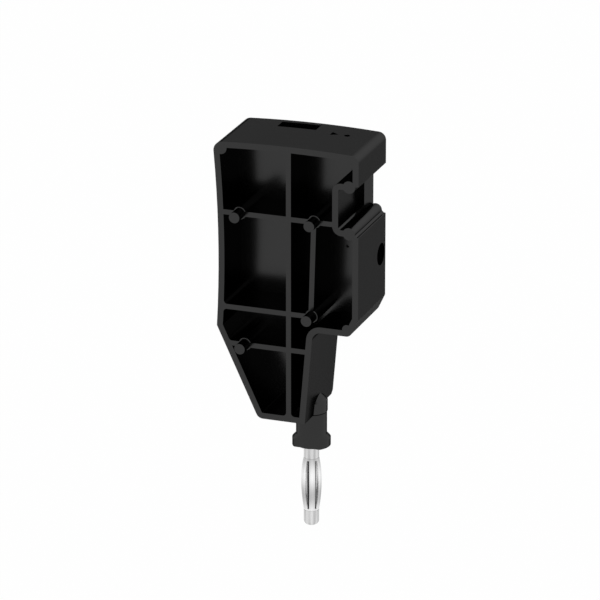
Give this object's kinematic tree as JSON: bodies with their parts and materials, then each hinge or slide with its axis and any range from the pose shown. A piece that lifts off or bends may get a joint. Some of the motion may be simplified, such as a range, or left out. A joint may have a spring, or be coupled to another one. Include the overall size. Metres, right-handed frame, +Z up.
{
  "type": "test adapter",
  "caption": "Slim open-fronted plastic housing with ribs and stacking pegs, a side test socket and a sprung contact pin below.",
  "frame": {"origin": "on the contact pin's axis, at the underside of the sleeve's flange", "axes": "+Z up along the pin, +X to the right of the open front, -Y out of the open front"},
  "size_m": [0.0184, 0.0116, 0.05],
  "materials": {
    "housing_plastic": "black satin moulding",
    "sleeve_plastic": "black satin moulding",
    "plated_pin": "bright nickel plating",
    "plated_spring": "bright nickel plating",
    "plated_bush": "nickel plating",
    "contact_brass": "plain rolled strip"
  },
  "bodies": {
    "root": {"housing": "housing_plastic", "plug_sleeve": "sleeve_plastic", "contact_pin": "plated_pin", "spring_cage": "plated_spring", "socket_bush": "plated_bush", "contact_strip": "contact_brass"}
  },
  "joints": []
}
